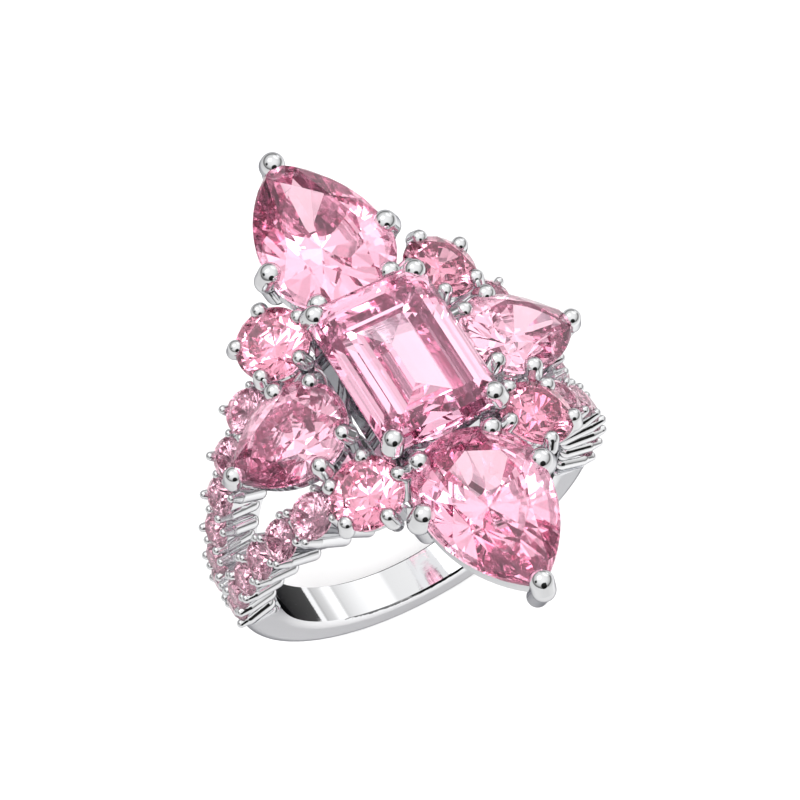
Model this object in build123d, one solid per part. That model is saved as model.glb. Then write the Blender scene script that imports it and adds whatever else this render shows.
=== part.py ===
from build123d import *
import math
import os

# Cocktail ring in rhodium-plated silver, set with pink cubic zirconia.
#
# Frame: the origin is the centre of the finger hole. Y runs along the finger, Z points from the finger up to
# the head of stones, and X runs from shoulder to shoulder. Angles around the finger are counted from the head
# (0) over a shoulder (90) to the back of the band (180). The ring is the same on both sides of XZ and of YZ,
# so one shoulder, one round setting and one pear setting of each size are made and then mirrored.

# ---- driving dimensions, in millimetres and degrees ----
FINGER_R = 8.6

BAND_END = 101.0
BAND_R_BACK = 10.35
BAND_R_END = 10.75
BAND_HALF_BACK = 1.25
BAND_HALF_END = 1.85
BAND_STATIONS = 9

ARM_START = 17.0
ARM_SPREAD = 3.8
ARM_MIDDLE_Y = 0.8
ARM_RISE = 3.1
ARM_GIRDLE_R = 10.72
ARM_STATIONS = 16
ARM_HALF_BOTTOM = 0.5
ARM_HALF_TOP = 0.6
PAVE_ANGLES = (36.4, 49.2, 61.2, 72.8, 84.0, 94.6)
PAVE_SIZES = (2.55, 2.3, 2.15, 2.05, 1.95, 1.8)
ARM_CORNER = 0.24
ARM_UNDER_GIRDLE = 0.12
ARM_STEP_ANGLE = 33.0
ARM_STEP_DROP = 2.2

RIB_FOOT_R = 0.45
RIB_FOOT_OUT = 0.55
RIB_FOOT_ACROSS = 0.42
RIB_FOOT_TURN = 3.0
RIB_NECK_R = 0.4
RIB_NECK_SHARE = 0.7
RIB_BEAD_R = 0.25
RIB_BEAD_SHARE = 0.39
RIB_BEAD_RISE = 0.16

CENTRE_HALF_X = 3.46
CENTRE_HALF_Y = 4.75
CENTRE_CORNER = 0.85
CENTRE_Z = 14.76

LONG_PEAR_W = 7.1
LONG_PEAR_L = 10.0
LONG_PEAR_Y = 8.09
LONG_PEAR_Z = 13.57
LONG_PEAR_TILT = 1.3

SIDE_PEAR_W = 5.3
SIDE_PEAR_L = 7.0
SIDE_PEAR_X = 6.07
SIDE_PEAR_Z = 12.39
SIDE_PEAR_TILT = 24.7

ROUND_D = 4.1
ROUND_X = 4.98
ROUND_Y = 5.12
ROUND_Z = 12.71
ROUND_TILT = 21.3

GALLERY_R_IN = 9.3
GALLERY_R_OUT = 10.2
GALLERY_W = 7.0
GALLERY_L = 12.2
GALLERY_LOBE_W = 4.4
GALLERY_LOBE_L = 5.4
GALLERY_LOBE_Y = 7.0
GALLERY_SIDE_W = 9.0
GALLERY_SIDE_L = 4.6
GALLERY_HOLE_W = 4.6
GALLERY_HOLE_L = 6.4
GALLERY_PIERCE_R = 1.35

CLAW_STEM = 0.88
CLAW_LEAN_OUT = 0.1
CLAW_BEAD_IN = 0.12
RAIL_EDGE = 0.1

# Proportions of the cuts, as shares of the stone's width.
TABLE = 0.58
CROWN = 0.155
GIRDLE = 0.03
PAVILION = 0.43


# ---- helpers ----
def around(angle, radius, y):
    """A point at an angle, a radius and a place along the finger's axis."""
    turn = math.radians(angle)
    return Vector(radius * math.sin(turn), y, radius * math.cos(turn))


def capsule(foot, head, radius, head_radius=None):
    """A round wire with domed ends between two points, tapering if its head has a radius of its own."""
    reach = head - foot
    top = radius if head_radius is None else head_radius
    slant = math.sqrt(0.5)
    side = make_face(
        [
            Line((0, -radius), (0, reach.length + top)),
            ThreePointArc(
                (0, reach.length + top), (top * slant, reach.length + top * slant), (top, reach.length)
            ),
            Line((top, reach.length), (radius, 0)),
            ThreePointArc((radius, 0), (radius * slant, -radius * slant), (0, -radius)),
        ]
    )
    wire = revolve(Plane.XZ * side, axis=Axis.Z)
    return Plane(origin=foot, z_dir=reach) * wire


def finger_cylinder(radius, half_length=20.0):
    """A cylinder on the finger's axis."""
    return Rot(90, 0, 0) * Cylinder(radius, 2 * half_length)


# ---- outlines: each gives a face grown outwards by an amount, and the point and normal at an angle ----
class Round:
    """A circle."""

    def __init__(self, diameter):
        self.width = diameter
        self.radius = diameter / 2
        self.culet = Vector(0, 0)

    def face(self, grow=0.0):
        return Sketch() + Circle(self.radius + grow)

    def edge_at(self, angle):
        turn = math.radians(angle)
        normal = Vector(math.cos(turn), math.sin(turn))
        return normal * self.radius, normal


class Pear:
    """A half circle closed by two larger arcs that meet in a point on +X."""

    def __init__(self, width, length):
        self.width = width
        self.radius = width / 2
        tip = length - self.radius
        self.wing = (self.radius**2 + tip**2) / width
        self.culet = Vector(0.12 * width, 0)

    def tip(self, grow=0.0):
        return math.sqrt((self.radius + grow) * (2 * self.wing + grow - self.radius))

    def face(self, grow=0.0):
        radius = self.radius + grow
        wing = self.wing + grow
        drop = self.wing - self.radius
        half_turn = math.atan2(self.tip(grow), drop) / 2
        mid = Vector(wing * math.sin(half_turn), wing * math.cos(half_turn) - drop)
        tip = Vector(self.tip(grow), 0)
        edges = [
            ThreePointArc((0, radius), (-radius, 0), (0, -radius)),
            ThreePointArc((0, -radius), (mid.X, -mid.Y), tip),
            ThreePointArc(tip, mid, (0, radius)),
        ]
        return Sketch() + make_face(edges)

    def edge_at(self, angle):
        turn = math.radians(angle)
        ray = Vector(math.cos(turn), math.sin(turn))
        if math.cos(turn) <= 1e-9:
            return ray * self.radius, ray
        if abs(math.sin(turn)) < 1e-9:
            return Vector(self.tip(), 0), Vector(1, 0)
        arc_centre = Vector(0, -math.copysign(self.wing - self.radius, ray.Y))
        along = ray.dot(arc_centre)
        reach = along + math.sqrt(along**2 + self.wing**2 - arc_centre.length**2)
        point = ray * reach
        return point, (point - arc_centre).normalized()


class Octagon:
    """A rectangle with cut corners."""

    def __init__(self, half_x, half_y, corner):
        self.width = 2 * half_x
        self.half_x = half_x
        self.half_y = half_y
        self.corner = corner

    def face(self, grow=0.0):
        x = self.half_x + grow
        y = self.half_y + grow
        cut = self.corner + grow * (2 - math.sqrt(2))
        points = [(x, y - cut), (x - cut, y), (cut - x, y), (-x, y - cut)]
        points += [(-px, -py) for px, py in points]
        return Sketch() + make_face(Polyline(*points, close=True))

    def sides(self):
        """Each side's point and outward normal."""
        slant = math.sqrt(0.5)
        corner = Vector(self.half_x - self.corner / 2, self.half_y - self.corner / 2)
        flats = [Vector(1, 0) * self.half_x, Vector(0, 1) * self.half_y]
        result = [(p * sign, p.normalized() * sign) for p in flats for sign in (1, -1)]
        for sx in (1, -1):
            for sy in (1, -1):
                result.append((Vector(sx * corner.X, sy * corner.Y), Vector(sx * slant, sy * slant)))
        return result


# ---- stones: a girdle prism ground flat, one facet at a time ----
def at_height(point, height):
    return Vector(point.X, point.Y, height)


def facet_plane(edge_point, edge_normal, inner_point):
    """The plane that holds the outline's tangent at a point and a point nearer the stone's axis."""
    tangent = Vector(-edge_normal.Y, edge_normal.X, 0)
    normal = tangent.cross(inner_point - edge_point).normalized()
    outward = Vector(edge_normal.X, edge_normal.Y, 0)
    return Plane(origin=edge_point, z_dir=normal if normal.dot(outward) > 0 else normal * -1)


def ridge_point(plane_a, plane_b, start, height):
    """The point at a height on the line where two facets meet, which runs through start."""
    ridge = plane_a.z_dir.cross(plane_b.z_dir)
    return start + ridge * ((height - start.Z) / ridge.Z)


def grind(blank, planes):
    for plane in planes:
        blank = split(blank, bisect_by=plane, keep=Keep.BOTTOM)
    return blank


def brilliant(shape, angles):
    """A brilliant cut over an outline: table, mains, stars and halves above, mains and halves below."""
    width = shape.width
    half_girdle = GIRDLE * width / 2
    top = CROWN * width + half_girdle
    culet = at_height(shape.culet, -PAVILION * width - half_girdle)
    count = len(angles)
    mains = [shape.edge_at(angle) for angle in angles]
    closed = list(angles) + [angles[0] + 360]
    quarters = [
        [shape.edge_at(closed[i] + share * (closed[i + 1] - closed[i])) for share in (0.25, 0.75)]
        for i in range(count)
    ]

    table_points = [at_height(shape.culet + (p - shape.culet) * TABLE, top) for p, n in mains]
    crown_mains = [
        facet_plane(at_height(p, half_girdle), n, corner) for (p, n), corner in zip(mains, table_points)
    ]
    pavilion_mains = [facet_plane(at_height(p, -half_girdle), n, culet) for p, n in mains]

    planes = crown_mains + pavilion_mains
    for i in range(count):
        after = (i + 1) % count
        first = table_points[i]
        second = table_points[after]
        # the crown's ridge starts where both mains reach the table's height
        gap = second - first
        ridge = crown_mains[i].z_dir.cross(crown_mains[after].z_dir)
        normal = crown_mains[i].z_dir
        other = crown_mains[after].z_dir
        flat = Vector(normal.X, normal.Y, 0)
        flat_other = Vector(other.X, other.Y, 0)
        spread = flat.X * flat_other.Y - flat.Y * flat_other.X
        need = flat.dot(first)
        need_other = flat_other.dot(second)
        start = Vector(
            (need * flat_other.Y - need_other * flat.Y) / spread,
            (need_other * flat.X - need * flat_other.X) / spread,
            top,
        )
        star_foot = start + ridge * ((0.45 * top - start.Z) / ridge.Z)
        star_normal = gap.cross(star_foot - first).normalized()
        planes.append(Plane(origin=first, z_dir=star_normal if star_normal.Z > 0 else star_normal * -1))
        half_foot = ridge_point(pavilion_mains[i], pavilion_mains[after], culet, culet.Z * 0.76)
        for p, n in quarters[i]:
            planes.append(facet_plane(at_height(p, half_girdle), n, star_foot))
            planes.append(facet_plane(at_height(p, -half_girdle), n, half_foot))

    blank = Pos(0, 0, culet.Z) * extrude(shape.face(), amount=top - culet.Z)
    return grind(blank, planes)


def step_cut(shape):
    """Rows of long flat facets above and below the girdle, ending in a table and a keel."""
    half_girdle = GIRDLE * shape.width / 2
    crown_steps = ((0, half_girdle), (0.42, 0.52), (0.86, 0.88), (1.24, 1.1))
    keel = PAVILION * shape.width + half_girdle
    pavilion_steps = ((0, -half_girdle), (0.95, -1.3), (2.1, -2.4), (shape.half_x, -keel))
    planes = []
    for point, normal in shape.sides():
        for steps in (crown_steps, pavilion_steps):
            for (inset, height), (next_inset, next_height) in zip(steps, steps[1:]):
                planes.append(
                    facet_plane(
                        at_height(point - normal * inset, height),
                        normal,
                        at_height(point - normal * next_inset, next_height),
                    )
                )
    table = crown_steps[-1][1]
    blank = Pos(0, 0, -keel) * extrude(shape.face(), amount=keel + table)
    return grind(blank, planes)


# ---- settings: rails under the girdle, and claws that fold over it ----
def rail(shape, outer, width, top, height):
    """A flat-topped wire that follows the outline, with its edges rounded."""
    ring = extrude(shape.face(outer), amount=height) - extrude(shape.face(outer - width), amount=height)
    return Pos(0, 0, top - height) * fillet(ring.edges().filter_by(Axis.Z, reverse=True), RAIL_EDGE)


def claw(edge_point, normal, bead, foot_in, foot_z):
    """A claw that rises past the girdle and ends in a bead over the stone's edge."""
    foot = at_height(edge_point - normal * foot_in, foot_z)
    bend = at_height(edge_point + normal * CLAW_LEAN_OUT, -0.15)
    tip = at_height(edge_point - normal * CLAW_BEAD_IN, 0.3 * bead + 0.12)
    return capsule(foot, bend, CLAW_STEM * bead) + capsule(bend, tip, bead)


def basket(shape, rails, claws):
    """A setting: rails given as growth, width, top and height, and claws given as point, normal and size."""
    body = rail(shape, *rails[0])
    for spec in rails[1:]:
        body += rail(shape, *spec)
    for (point, normal), bead, foot_in, foot_z in claws:
        body += claw(point, normal, bead, foot_in, foot_z)
    return body


# ---- placing ----
LONG_PLACE = Plane(
    origin=(0, LONG_PEAR_Y, LONG_PEAR_Z),
    x_dir=(0, math.cos(math.radians(LONG_PEAR_TILT)), -math.sin(math.radians(LONG_PEAR_TILT))),
    z_dir=(0, math.sin(math.radians(LONG_PEAR_TILT)), math.cos(math.radians(LONG_PEAR_TILT))),
)
SIDE_PLACE = Plane(
    origin=(SIDE_PEAR_X, 0, SIDE_PEAR_Z),
    x_dir=(math.cos(math.radians(SIDE_PEAR_TILT)), 0, -math.sin(math.radians(SIDE_PEAR_TILT))),
    z_dir=(math.sin(math.radians(SIDE_PEAR_TILT)), 0, math.cos(math.radians(SIDE_PEAR_TILT))),
)
ROUND_PLACE = Plane(
    origin=(ROUND_X, ROUND_Y, ROUND_Z),
    x_dir=(math.cos(math.radians(ROUND_TILT)), 0, -math.sin(math.radians(ROUND_TILT))),
    z_dir=(math.sin(math.radians(ROUND_TILT)), 0, math.cos(math.radians(ROUND_TILT))),
)
CENTRE_PLACE = Plane(origin=(0, 0, CENTRE_Z))


def arm_share(angle):
    """How far up a shoulder an angle lies: 0 where the band begins."""
    return max(0.0, (BAND_END - angle) / 81.0)


def arm_y(angle):
    return ARM_MIDDLE_Y + ARM_SPREAD * arm_share(angle) ** 1.4


def girdle_r(angle):
    return ARM_GIRDLE_R + ARM_RISE * arm_share(angle) ** 2.6


def pave_place(angle):
    """The seat of a small stone on the right back shoulder."""
    turn = math.radians(angle)
    return Plane(
        origin=around(angle, girdle_r(angle), arm_y(angle)),
        x_dir=(math.cos(turn), 0, -math.sin(turn)),
        z_dir=(math.sin(turn), 0, math.cos(turn)),
    )


# ---- sections across the band and the shoulders ----
def section(angle, middle_y, r_in, r_out, half_in, half_out, corner):
    """A four-sided section with round corners, in the plane of the finger's axis at an angle."""
    corners = [(-half_in, r_in), (half_in, r_in), (half_out, r_out), (-half_out, r_out)]
    sketch = Sketch() + make_face(Polyline(*corners, close=True))
    sketch = fillet(sketch.vertices(), corner)
    turn = math.radians(angle)
    plane = Plane(
        origin=(0, middle_y, 0),
        x_dir=(0, 1, 0),
        z_dir=(math.cos(turn), 0, -math.sin(turn)),
    )
    return (plane * sketch).faces()[0]


def shank_band():
    """The plain half of the hoop, widening to meet the shoulders."""
    faces = []
    span = 360 - 2 * BAND_END
    for i in range(BAND_STATIONS):
        angle = BAND_END + span * i / (BAND_STATIONS - 1)
        share = abs(angle - 180) / (180 - BAND_END)
        widen = share**2
        half = BAND_HALF_BACK + (BAND_HALF_END - BAND_HALF_BACK) * widen
        r_out = BAND_R_BACK + (BAND_R_END - BAND_R_BACK) * widen
        faces.append(section(angle, 0, FINGER_R - 0.12, r_out, half, half - 0.1, 0.5))
    return loft(faces) - finger_cylinder(FINGER_R)


def shoulder_bar():
    """One shoulder's bar, before its seats are cut."""
    faces = []
    for i in range(ARM_STATIONS):
        angle = ARM_START + (BAND_END - ARM_START) * i / (ARM_STATIONS - 1)
        drop = ARM_STEP_DROP * min(1.0, max(0.0, (ARM_STEP_ANGLE - angle) / 12))
        r_out = girdle_r(angle) - ARM_UNDER_GIRDLE - drop
        half_out = ARM_HALF_TOP + 0.3 * arm_share(angle)
        y = arm_y(angle)
        faces.append(section(angle, y, FINGER_R - 0.15, r_out, ARM_HALF_BOTTOM, half_out, ARM_CORNER))
    return loft(faces, ruled=True) - finger_cylinder(FINGER_R)


def shoulder_ribs():
    """Four ribs for each small stone: broad feet side by side along the bar, narrowing to beads."""
    ribs = []
    for angle, size in zip(PAVE_ANGLES, PAVE_SIZES):
        place = pave_place(angle)
        for along in (-1, 1):
            for across in (-1, 1):
                foot_angle = angle + along * RIB_FOOT_TURN
                foot = around(foot_angle, FINGER_R + RIB_FOOT_OUT, arm_y(angle) + across * RIB_FOOT_ACROSS)
                corner = Vector(along * RIB_BEAD_SHARE * size, across * RIB_BEAD_SHARE * size, RIB_BEAD_RISE)
                bead = place.from_local_coords(corner)
                neck = foot + (bead - foot) * RIB_NECK_SHARE
                ribs.append(capsule(foot, neck, RIB_FOOT_R, RIB_NECK_R))
                ribs.append(capsule(neck, bead, RIB_NECK_R, RIB_BEAD_R))
    return ribs


def gallery_plate():
    """The pierced plate under the head, curved round the finger, that all the settings stand on."""
    plan = Sketch() + RectangleRounded(GALLERY_W, GALLERY_L, 2.4)
    plan += RectangleRounded(GALLERY_SIDE_W, GALLERY_SIDE_L, 1.6)
    for side in (1, -1):
        plan += Pos(0, side * GALLERY_LOBE_Y) * RectangleRounded(GALLERY_LOBE_W, GALLERY_LOBE_L, 2.0)
        plan -= Pos(0, side * (GALLERY_LOBE_Y + 0.2)) * Circle(GALLERY_PIERCE_R)
    plan -= RectangleRounded(GALLERY_HOLE_W, GALLERY_HOLE_L, 1.2)
    shell = finger_cylinder(GALLERY_R_OUT) - finger_cylinder(GALLERY_R_IN)
    return shell & extrude(plan, amount=20)


# ---- the cut stones ----
round_shape = Round(ROUND_D)
long_shape = Pear(LONG_PEAR_W, LONG_PEAR_L)
side_shape = Pear(SIDE_PEAR_W, SIDE_PEAR_L)
centre_shape = Octagon(CENTRE_HALF_X, CENTRE_HALF_Y, CENTRE_CORNER)
ROUND_FACETS = [45 * i for i in range(8)]
PEAR_FACETS = [0, 34, 78, 128, 180, 232, 282, 326]

unit_round = brilliant(Round(1.0), ROUND_FACETS)
centre_stone = CENTRE_PLACE * step_cut(centre_shape)
long_pear = LONG_PLACE * brilliant(long_shape, PEAR_FACETS)
side_pear = SIDE_PLACE * brilliant(side_shape, PEAR_FACETS)
round_stone = ROUND_PLACE * scale(unit_round, by=ROUND_D)
pave = [pave_place(a) * scale(unit_round, by=s) for a, s in zip(PAVE_ANGLES, PAVE_SIZES)]


# Every setting's claws are its edge point with the bead's radius, and how far in and down the foot stands.
CENTRE_RAILS = ((-0.08, 0.5, -0.14, 0.36), (-0.26, 0.5, -0.55, 2.5))
LONG_RAILS = ((-0.08, 0.6, -0.1, 0.4), (-0.24, 0.9, -0.58, 0.7))
SIDE_RAILS = ((-0.06, 0.5, -0.1, 0.36), (-0.16, 0.75, -0.56, 0.7))
ROUND_RAILS = ((-0.06, 0.42, -0.08, 0.3), (-0.2, 0.6, -0.45, 0.42))
centre_claws = [(side, 0.61, 1.2, -4.6) for side in centre_shape.sides()[4:]]
long_claws = [(long_shape.edge_at(a), 0.66, 0.4, -1.7) for a in (0, 87, -87)]
long_claws += [(long_shape.edge_at(a), 0.6, 1.5, -3.3) for a in (142, -142)]
side_claws = [(side_shape.edge_at(a), 0.53, 0.3, -1.35) for a in (0, 88, -88)]
side_claws += [(side_shape.edge_at(a), 0.5, 0.9, -3.5) for a in (136, -136)]
round_claws = [(round_shape.edge_at(28 + 72 * i), 0.45, 0.7, -2.25) for i in range(5)]

centre_setting = CENTRE_PLACE * basket(centre_shape, CENTRE_RAILS, centre_claws)
long_setting = LONG_PLACE * basket(long_shape, LONG_RAILS, long_claws)
side_setting = SIDE_PLACE * basket(side_shape, SIDE_RAILS, side_claws)
round_setting = ROUND_PLACE * basket(round_shape, ROUND_RAILS, round_claws)

QUARTERS = {"back_right": (1, 1), "back_left": (-1, 1), "front_right": (1, -1), "front_left": (-1, -1)}


def to_quarter(shape, sx, sy):
    """A copy of a back right piece in another quarter."""
    if sx < 0:
        shape = mirror(shape, about=Plane.YZ)
    if sy < 0:
        shape = mirror(shape, about=Plane.XZ)
    return shape


def four(shape):
    return [to_quarter(shape, sx, sy) for sx, sy in QUARTERS.values()]


def carve(body, *tools):
    """Cut pieces that are in the way out of a body."""
    for tool in tools:
        body -= tool
    return body


# ---- each piece gives way to the ones that were there first, so that they meet face to face ----
centre_setting = carve(centre_setting, centre_stone, *four(round_stone))
centre_setting = carve(centre_setting, long_pear, to_quarter(long_pear, 1, -1))
centre_setting = carve(centre_setting, side_pear, to_quarter(side_pear, -1, 1))
long_setting = carve(long_setting, long_pear, centre_stone, centre_setting, *four(round_stone)[:2])
side_setting = carve(side_setting, side_pear, centre_stone, centre_setting, *pave[:2])
side_setting = carve(side_setting, to_quarter(pave[0], 1, -1), to_quarter(pave[1], 1, -1))
side_setting = carve(side_setting, round_stone, to_quarter(round_stone, 1, -1))
round_setting = carve(round_setting, round_stone, centre_stone, long_pear, side_pear, pave[0])
round_setting = carve(round_setting, centre_setting, long_setting, side_setting)

shoulder = shoulder_bar() + shoulder_ribs()
shoulder = split(shoulder, bisect_by=Plane(origin=(0, 0.005, 0), z_dir=(0, 1, 0)), keep=Keep.TOP)
shoulder = carve(shoulder, pave, [round_stone, round_setting, side_setting])
band = shank_band()
gallery = carve(gallery_plate(), centre_setting, long_setting, to_quarter(long_setting, 1, -1))
gallery = carve(gallery, side_setting, to_quarter(side_setting, -1, 1), *four(round_setting), *four(shoulder))

os.makedirs("parts", exist_ok=True)


def save(name, *shapes):
    """Write one node, made of one or more solids."""
    solids = [solid for shape in shapes for solid in shape.solids()]
    export_step(Compound(children=solids), f"parts/{name}.step")


save("shank_band", band)
save("head_gallery", gallery)
save("centre_stone", centre_stone)
save("centre_setting", centre_setting)
for name, sign in (("back", 1), ("front", -1)):
    save(f"{name}_pear_stone", to_quarter(long_pear, 1, sign))
    save(f"{name}_pear_setting", to_quarter(long_setting, 1, sign))
for name, sign in (("right", 1), ("left", -1)):
    save(f"{name}_pear_stone", to_quarter(side_pear, sign, 1))
    save(f"{name}_pear_setting", to_quarter(side_setting, sign, 1))
for name, (sx, sy) in QUARTERS.items():
    save(f"{name}_shoulder", to_quarter(shoulder, sx, sy))
    save(f"{name}_round_stone", to_quarter(round_stone, sx, sy))
    save(f"{name}_round_setting", to_quarter(round_setting, sx, sy))
    save(f"{name}_pave_stones", *[to_quarter(stone, sx, sy) for stone in pave])
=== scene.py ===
import math

import bpy
from mathutils import Matrix, Vector


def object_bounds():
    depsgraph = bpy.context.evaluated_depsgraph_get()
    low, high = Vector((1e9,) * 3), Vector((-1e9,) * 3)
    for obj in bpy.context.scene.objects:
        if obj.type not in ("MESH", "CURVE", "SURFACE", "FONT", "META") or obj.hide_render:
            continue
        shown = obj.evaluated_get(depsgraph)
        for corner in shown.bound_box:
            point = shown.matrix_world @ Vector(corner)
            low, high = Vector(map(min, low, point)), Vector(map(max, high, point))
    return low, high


# The cocktail ring's looks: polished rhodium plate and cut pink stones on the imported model's own solids.
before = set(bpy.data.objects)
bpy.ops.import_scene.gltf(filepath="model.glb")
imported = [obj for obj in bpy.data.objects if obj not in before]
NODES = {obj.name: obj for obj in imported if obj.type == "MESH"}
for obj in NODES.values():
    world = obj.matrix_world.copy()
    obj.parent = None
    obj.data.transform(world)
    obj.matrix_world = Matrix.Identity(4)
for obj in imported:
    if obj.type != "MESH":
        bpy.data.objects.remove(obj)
cad_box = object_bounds()
MM = 0.001

# ---- camera: the photograph's viewing angle, in degrees and metres ----
CAMERA_AZIMUTH = -28.77
CAMERA_ELEVATION = 59.83
CAMERA_DISTANCE = 0.27646
CAMERA_LENS = 230.8
AIM_RIGHT = -0.000205
AIM_UP = 0.005487


def view_axes(azimuth, elevation):
    """The directions back towards the camera, to its right and up in its picture."""
    a = math.radians(azimuth)
    e = math.radians(elevation)
    back = Vector((math.sin(a) * math.cos(e), -math.cos(a) * math.cos(e), math.sin(e)))
    right = Vector((math.cos(a), math.sin(a), 0.0))
    return back, right, back.cross(right)


camera_back, camera_right, camera_up = view_axes(CAMERA_AZIMUTH, CAMERA_ELEVATION)

# ---- metal: a cloud is its scale and detail ----
METAL_TINTS = ((0.86, 0.865, 0.88), (0.93, 0.932, 0.94))
METAL_EDGE = (0.25, 0.25, 0.27)
METAL_ROUGHNESS = (0.021, 0.0525)
METAL_CLOUD = (260.0, 3.0)
BUFF_STRETCH = (900.0, 14000.0, 900.0)
BUFF_STRENGTH = 0.15
BUFF_DEPTH = 0.00001

# ---- stones: cubic zirconia in four strengths, from two tints and how fast the colour deepens ----
STONE_IOR = 2.16
STONE_SHINE = (1.0, 0.72, 0.82)
STONE_ROUGHNESS = (0.0, 0.012)
STONE_CLOUD = (420.0, 2.0)
STONE_DEPTH = (0.98, 0.38, 0.64)
CENTRE_TINTS = ((1.0, 0.64, 0.77), (1.0, 0.74, 0.85))
LARGE_TINTS = ((1.0, 0.61, 0.73), (1.0, 0.72, 0.81))
ROUND_TINTS = ((0.8, 0.41, 0.5), (0.84, 0.49, 0.58))
SMALL_TINTS = ((1.0, 0.7, 0.77), (1.0, 0.82, 0.87))
CENTRE_DENSITY = 42.0
LARGE_DENSITY = 60.0
ROUND_DENSITY = 115.0
SMALL_DENSITY = 170.0

# ---- studio: greys are stops of position and brightness ----
FLOOR_HALF = 3.0
FLOOR_GREY = 0.92
FLOOR_ROUGHNESS = 0.9
FLOOR_GLOW = 0.14
# The floor as the metal mirrors it holds painted light: a painted pool of light at this centre, fading over
# this reach through these greys to painted grey shade.
PAINTED_POOL_REACH = 0.12
PAINTED_POOL_CENTRE = (0.035, 0.018, 0.0)
PAINTED_REFLECTION_GREYS = ((0.0, 0.86), (0.25, 0.85), (0.38, 0.78), (0.52, 0.6), (1.0, 0.5))
CARD_TURN = 27.0
CARD_LIFT = 0.02
CARD_GREY = 0.05
CARD_CORNERS = ((-1.0, 0.9), (25.0, 0.9), (25.0, 9.0), (-1.0, 9.0))
TENT_GREYS = ((0.0, 0.16), (0.2, 0.22), (0.35, 0.55), (0.7, 0.85), (1.0, 1.0))
# Patches of the tent: direction, inner and outer angle, and how much brighter or darker.
TENT_PATCHES = (
    (camera_back * 0.78 + camera_right * 0.3 - camera_up * 0.55, 24, 26, 0.03),
    (camera_back * 0.55 - camera_right * 0.8, 11, 13, 0.06),
    (camera_back * 0.7 - camera_right * 0.4 + camera_up * 0.6, 16, 19, 1.8),
    ((0.88, 0.45, 0.0), 11, 19, 4.2),
    ((0.74, 0.43, 0.52), 18, 26, 1.5),
)
AMBIENT_GREY = 1.05
GEM_CLOUD_SCALE = 3.0
GEM_GREYS = ((0.34, 0.95), (0.42, 1.35), (0.56, 1.55), (0.66, 2.1))
KEY_TOWARDS = (-0.5, -0.6, 1.0)
KEY_DISTANCE = 0.6
KEY_SIZE = 0.4
KEY_POWER = 2.0
# Light bounces between many facets before it leaves a cut stone.
MOST_BOUNCES = 32
STONE_BOUNCES = 24


def add_camera():
    place = camera_back * CAMERA_DISTANCE
    tilt_right = AIM_RIGHT / CAMERA_DISTANCE
    tilt_up = AIM_UP / CAMERA_DISTANCE
    back = (camera_back - camera_right * tilt_right - camera_up * tilt_up).normalized()
    right = (camera_right - back * camera_right.dot(back)).normalized()
    up = back.cross(right)
    data = bpy.data.cameras.new("camera")
    data.lens = CAMERA_LENS
    data.sensor_width = 36.0
    data.clip_start = 0.01
    data.clip_end = 10.0
    camera = bpy.data.objects.new("camera", data)
    axes = Matrix((right, up, back)).transposed()
    camera.matrix_world = Matrix.Translation(place) @ axes.to_4x4()
    bpy.context.scene.collection.objects.link(camera)
    bpy.context.scene.camera = camera


# ---- node helpers ----
def new_material(name):
    material = bpy.data.materials.new(name)
    material.use_nodes = True
    tree = material.node_tree
    tree.nodes.clear()
    out = tree.nodes.new("ShaderNodeOutputMaterial")
    shader = tree.nodes.new("ShaderNodeBsdfPrincipled")
    tree.links.new(shader.outputs["BSDF"], out.inputs["Surface"])
    return material, tree, shader, out


def add(tree, kind, **values):
    """A new node, with its properties or its inputs set by name."""
    node = tree.nodes.new(kind)
    for name, value in values.items():
        if hasattr(node, name):
            setattr(node, name, value)
        else:
            node.inputs[name.replace("_", " ")].default_value = value
    return node


def ramp(tree, factor, span):
    """Maps a 0 to 1 value onto a range."""
    node = add(tree, "ShaderNodeMapRange")
    node.inputs["To Min"].default_value = span[0]
    node.inputs["To Max"].default_value = span[1]
    tree.links.new(factor, node.inputs["Value"])
    return node.outputs["Result"]


def set_stops(node, stops):
    """Fills a colour ramp with greys."""
    elements = node.color_ramp.elements
    while len(elements) < len(stops):
        elements.new(0.5)
    for element, (position, grey) in zip(elements, stops):
        element.position = position
        element.color = (grey, grey, grey, 1.0)


def cloudy(tree, shader, scale_and_detail, tints, roughness):
    """Varies a surface's colour and gloss by a cloud, and returns the object coordinates that it lies in."""
    place = add(tree, "ShaderNodeTexCoord").outputs["Object"]
    scale, detail = scale_and_detail
    cloud = add(tree, "ShaderNodeTexNoise", Scale=scale, Detail=detail)
    tree.links.new(place, cloud.inputs["Vector"])
    tint = add(tree, "ShaderNodeMix", data_type="RGBA")
    tint.inputs["A"].default_value = (*tints[0], 1.0)
    tint.inputs["B"].default_value = (*tints[1], 1.0)
    tree.links.new(cloud.outputs["Fac"], tint.inputs["Factor"])
    tree.links.new(tint.outputs["Result"], shader.inputs["Base Color"])
    tree.links.new(ramp(tree, cloud.outputs["Fac"], roughness), shader.inputs["Roughness"])
    return place


# ---- materials ----
def silver(name):
    """Rhodium-plated silver: a mirror polish with faint buffing lines and a slightly uneven gloss."""
    material, tree, shader, out = new_material(name)
    shader.inputs["Metallic"].default_value = 1.0
    shader.inputs["Specular Tint"].default_value = (*METAL_EDGE, 1.0)
    place = cloudy(tree, shader, METAL_CLOUD, METAL_TINTS, METAL_ROUGHNESS)
    stretch = add(tree, "ShaderNodeMapping")
    stretch.inputs["Scale"].default_value = BUFF_STRETCH
    tree.links.new(place, stretch.inputs["Vector"])
    lines = add(tree, "ShaderNodeTexNoise", Scale=1.0, Detail=2.0)
    tree.links.new(stretch.outputs["Vector"], lines.inputs["Vector"])
    bump = add(tree, "ShaderNodeBump", Strength=BUFF_STRENGTH, Distance=BUFF_DEPTH)
    tree.links.new(lines.outputs["Fac"], bump.inputs["Height"])
    tree.links.new(bump.outputs["Normal"], shader.inputs["Normal"])
    return material


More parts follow.
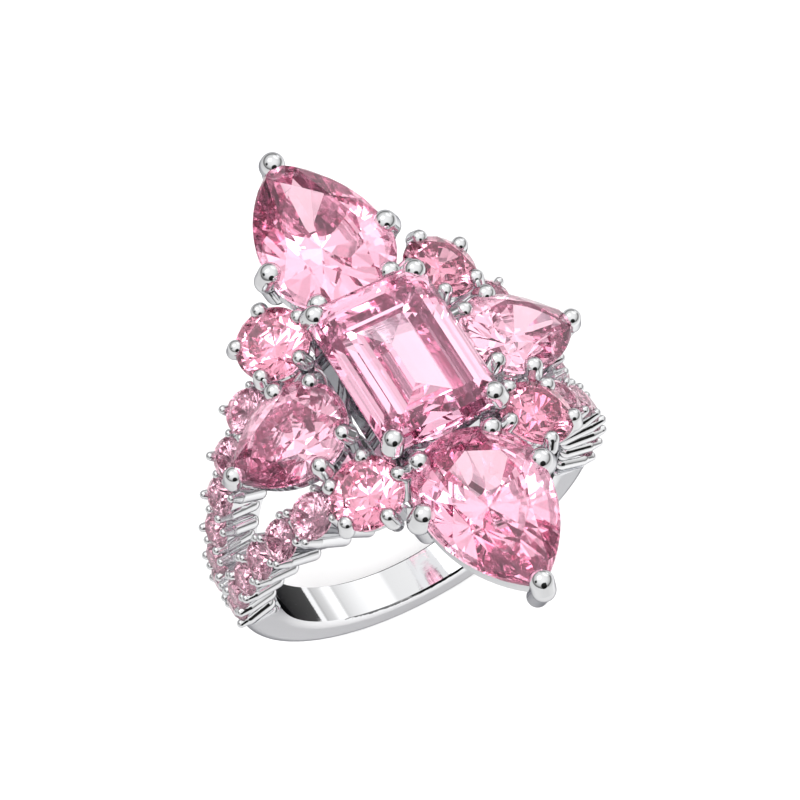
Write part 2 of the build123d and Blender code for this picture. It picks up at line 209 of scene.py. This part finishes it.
def stone(name, tints, density):
    """Cut cubic zirconia: clear, strongly refracting, and pinker where light takes a longer way through."""
    material, tree, shader, out = new_material(name)
    shader.inputs["Transmission Weight"].default_value = 1.0
    shader.inputs["IOR"].default_value = STONE_IOR
    shader.inputs["Specular Tint"].default_value = (*STONE_SHINE, 1.0)
    cloudy(tree, shader, STONE_CLOUD, tints, STONE_ROUGHNESS)
    # Facets are flat, and the model's own normals are rounded over their edges.
    facet = tree.nodes.new("ShaderNodeNewGeometry").outputs["True Normal"]
    tree.links.new(facet, shader.inputs["Normal"])
    body = add(tree, "ShaderNodeVolumeAbsorption", Density=density)
    body.inputs["Color"].default_value = (*STONE_DEPTH, 1.0)
    tree.links.new(body.outputs["Volume"], out.inputs["Volume"])
    return material


def dress():
    """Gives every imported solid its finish."""
    metal = silver("rhodium_plate")
    centre = stone("pink_zirconia_centre", CENTRE_TINTS, CENTRE_DENSITY)
    large = stone("pink_zirconia_large", LARGE_TINTS, LARGE_DENSITY)
    middling = stone("pink_zirconia_round", ROUND_TINTS, ROUND_DENSITY)
    small = stone("pink_zirconia_small", SMALL_TINTS, SMALL_DENSITY)
    for name, piece in NODES.items():
        if name.endswith("_pave_stones"):
            material, part_slot = small, "small_pink_stone"
        elif name.endswith("_round_stone"):
            material, part_slot = middling, "pink_stone"
        elif name == "centre_stone":
            material, part_slot = centre, "pink_stone"
        elif name.endswith("_stone"):
            material, part_slot = large, "pink_stone"
        else:
            material, part_slot = metal, "silver"
        piece.data.materials.clear()
        piece.data.materials.append(material)


# ---- studio ----
def add_sheet(name, corners, material):
    """A flat sheet of the studio, which isn't part of the ring."""
    mesh = bpy.data.meshes.new(name)
    mesh.from_pydata(corners, [], [(0, 1, 2, 3)])
    mesh.materials.append(material)
    sheet = bpy.data.objects.new(name, mesh)
    bpy.context.scene.collection.objects.link(sheet)
    return sheet


def add_floor():
    """A pale floor. In reflections it becomes a darker diffuse floor, lit and shadowed by the lamps. That
    floor has a painted pool of light at the ring's back right and painted grey shade further out.
    """
    material, tree, shader, out = new_material("pale_floor")
    shader.inputs["Base Color"].default_value = (FLOOR_GREY, FLOOR_GREY, FLOOR_GREY, 1.0)
    shader.inputs["Roughness"].default_value = FLOOR_ROUGHNESS
    shader.inputs["Emission Color"].default_value = (1.0, 1.0, 1.0, 1.0)
    shader.inputs["Emission Strength"].default_value = FLOOR_GLOW
    # Painted pool of light and painted shade: in reflections the floor's colour greys with distance from the
    # pool's centre.
    place = tree.nodes.new("ShaderNodeTexCoord")
    pool = add(tree, "ShaderNodeVectorMath", operation="SUBTRACT")
    pool.inputs[1].default_value = PAINTED_POOL_CENTRE
    tree.links.new(place.outputs["Object"], pool.inputs[0])
    reach = add(tree, "ShaderNodeVectorMath", operation="LENGTH")
    tree.links.new(pool.outputs["Vector"], reach.inputs[0])
    fall = add(tree, "ShaderNodeMapRange")
    fall.inputs["From Max"].default_value = PAINTED_POOL_REACH
    tree.links.new(reach.outputs["Value"], fall.inputs["Value"])
    greys = add(tree, "ShaderNodeValToRGB")
    set_stops(greys, PAINTED_REFLECTION_GREYS)
    tree.links.new(fall.outputs["Result"], greys.inputs["Fac"])
    painted_reflected_floor = tree.nodes.new("ShaderNodeBsdfDiffuse")
    tree.links.new(greys.outputs["Color"], painted_reflected_floor.inputs["Color"])
    reflected = tree.nodes.new("ShaderNodeLightPath").outputs["Is Glossy Ray"]
    chosen = choose_by(tree, reflected, shader.outputs["BSDF"], painted_reflected_floor.outputs["BSDF"])
    tree.links.new(chosen, out.inputs["Surface"])
    low = cad_box[0].z
    signs = ((-1, -1), (1, -1), (1, 1), (-1, 1))
    add_sheet("floor", [(x * FLOOR_HALF, y * FLOOR_HALF, low) for x, y in signs], material)


def add_dark_card():
    """A dark card beside the ring that shows only in reflections, as the dark patch inside the band."""
    turn = math.radians(CARD_TURN)
    along = Vector((math.cos(turn), math.sin(turn), 0.0))
    across = Vector((-along.y, along.x, 0.0))
    level = Vector((0.0, 0.0, cad_box[0].z + CARD_LIFT * MM))
    corners = [level + along * reach * MM + across * side * MM for reach, side in CARD_CORNERS]
    material, tree, shader, out = new_material("dark_card")
    shader.inputs["Base Color"].default_value = (CARD_GREY, CARD_GREY, CARD_GREY, 1.0)
    shader.inputs["Roughness"].default_value = 1.0
    card = add_sheet("dark_card", corners, material)
    card.visible_camera = False
    card.visible_diffuse = False
    card.visible_transmission = False
    card.visible_shadow = False


def add_key_light():
    """A soft box that faces the ring. The metal doesn't mirror it, as the tent has its own bright patch."""
    data = bpy.data.lights.new("key", "AREA")
    data.energy = KEY_POWER
    data.size = KEY_SIZE
    light = bpy.data.objects.new("key", data)
    towards = Vector(KEY_TOWARDS).normalized()
    light.location = towards * KEY_DISTANCE
    light.rotation_euler = towards.to_track_quat("Z", "Y").to_euler()
    light.visible_glossy = False
    bpy.context.scene.collection.objects.link(light)


def patch(tree, colour, vector, direction, inner, outer, value):
    """Multiplies a colour by a value within inner degrees of a direction, fading out by outer degrees."""
    unit = add(tree, "ShaderNodeVectorMath", operation="NORMALIZE")
    tree.links.new(vector, unit.inputs[0])
    dot = add(tree, "ShaderNodeVectorMath", operation="DOT_PRODUCT")
    dot.inputs[1].default_value = Vector(direction).normalized()
    tree.links.new(unit.outputs["Vector"], dot.inputs[0])
    step = add(tree, "ShaderNodeMapRange", interpolation_type="SMOOTHSTEP")
    step.inputs["From Min"].default_value = math.cos(math.radians(outer))
    step.inputs["From Max"].default_value = math.cos(math.radians(inner))
    step.inputs["To Min"].default_value = 1.0
    step.inputs["To Max"].default_value = value
    tree.links.new(dot.outputs["Value"], step.inputs["Value"])
    node = add(tree, "ShaderNodeVectorMath", operation="SCALE")
    tree.links.new(colour, node.inputs[0])
    tree.links.new(step.outputs["Result"], node.inputs["Scale"])
    return node.outputs["Vector"]


def background(tree, colour=None, grey=1.0):
    """A surround of one grey, or of a colour that comes from other nodes."""
    node = add(tree, "ShaderNodeBackground", Strength=1.0)
    node.inputs["Color"].default_value = (grey, grey, grey, 1.0)
    if colour is not None:
        tree.links.new(colour, node.inputs["Color"])
    return node.outputs["Background"]


def choose_by(tree, factor, off, on):
    """One of two shaders, by a factor of 0 or 1."""
    node = tree.nodes.new("ShaderNodeMixShader")
    tree.links.new(factor, node.inputs["Fac"])
    tree.links.new(off, node.inputs[1])
    tree.links.new(on, node.inputs[2])
    return node.outputs["Shader"]


def add_world():
    """A bright tent. In reflections it has a grey horizon, soft boxes and dark cards."""
    world = bpy.data.worlds.new("studio")
    bpy.context.scene.world = world
    world.use_nodes = True
    tree = world.node_tree
    tree.nodes.clear()
    out = tree.nodes.new("ShaderNodeOutputWorld")
    place = tree.nodes.new("ShaderNodeTexCoord").outputs["Generated"]

    height = tree.nodes.new("ShaderNodeSeparateXYZ")
    tree.links.new(place, height.inputs[0])
    greys = add(tree, "ShaderNodeValToRGB")
    set_stops(greys, TENT_GREYS)
    tree.links.new(height.outputs["Z"], greys.inputs["Fac"])
    tent = greys.outputs["Color"]
    for direction, inner, outer, value in TENT_PATCHES:
        tent = patch(tree, tent, place, direction, inner, outer, value)
    cloud = add(tree, "ShaderNodeTexNoise", Scale=GEM_CLOUD_SCALE, Detail=0.0)
    tree.links.new(place, cloud.inputs["Vector"])
    sparkle = add(tree, "ShaderNodeValToRGB")
    set_stops(sparkle, GEM_GREYS)
    tree.links.new(cloud.outputs["Fac"], sparkle.inputs["Fac"])

    path = tree.nodes.new("ShaderNodeLightPath")
    through_stone = add(tree, "ShaderNodeMath", operation="GREATER_THAN")
    tree.links.new(path.outputs["Transmission Depth"], through_stone.inputs[0])
    shade = background(tree, grey=AMBIENT_GREY)
    shade = choose_by(tree, path.outputs["Is Glossy Ray"], shade, background(tree, tent))
    inside = background(tree, sparkle.outputs["Color"])
    shade = choose_by(tree, through_stone.outputs["Value"], shade, inside)
    shade = choose_by(tree, path.outputs["Is Camera Ray"], shade, background(tree))
    tree.links.new(shade, out.inputs["Surface"])


add_camera()
dress()
add_floor()
add_dark_card()
add_world()
add_key_light()
bpy.context.scene.view_settings.view_transform = "Standard"
light_paths = bpy.context.scene.cycles
light_paths.max_bounces = MOST_BOUNCES
light_paths.glossy_bounces = STONE_BOUNCES
light_paths.transmission_bounces = STONE_BOUNCES
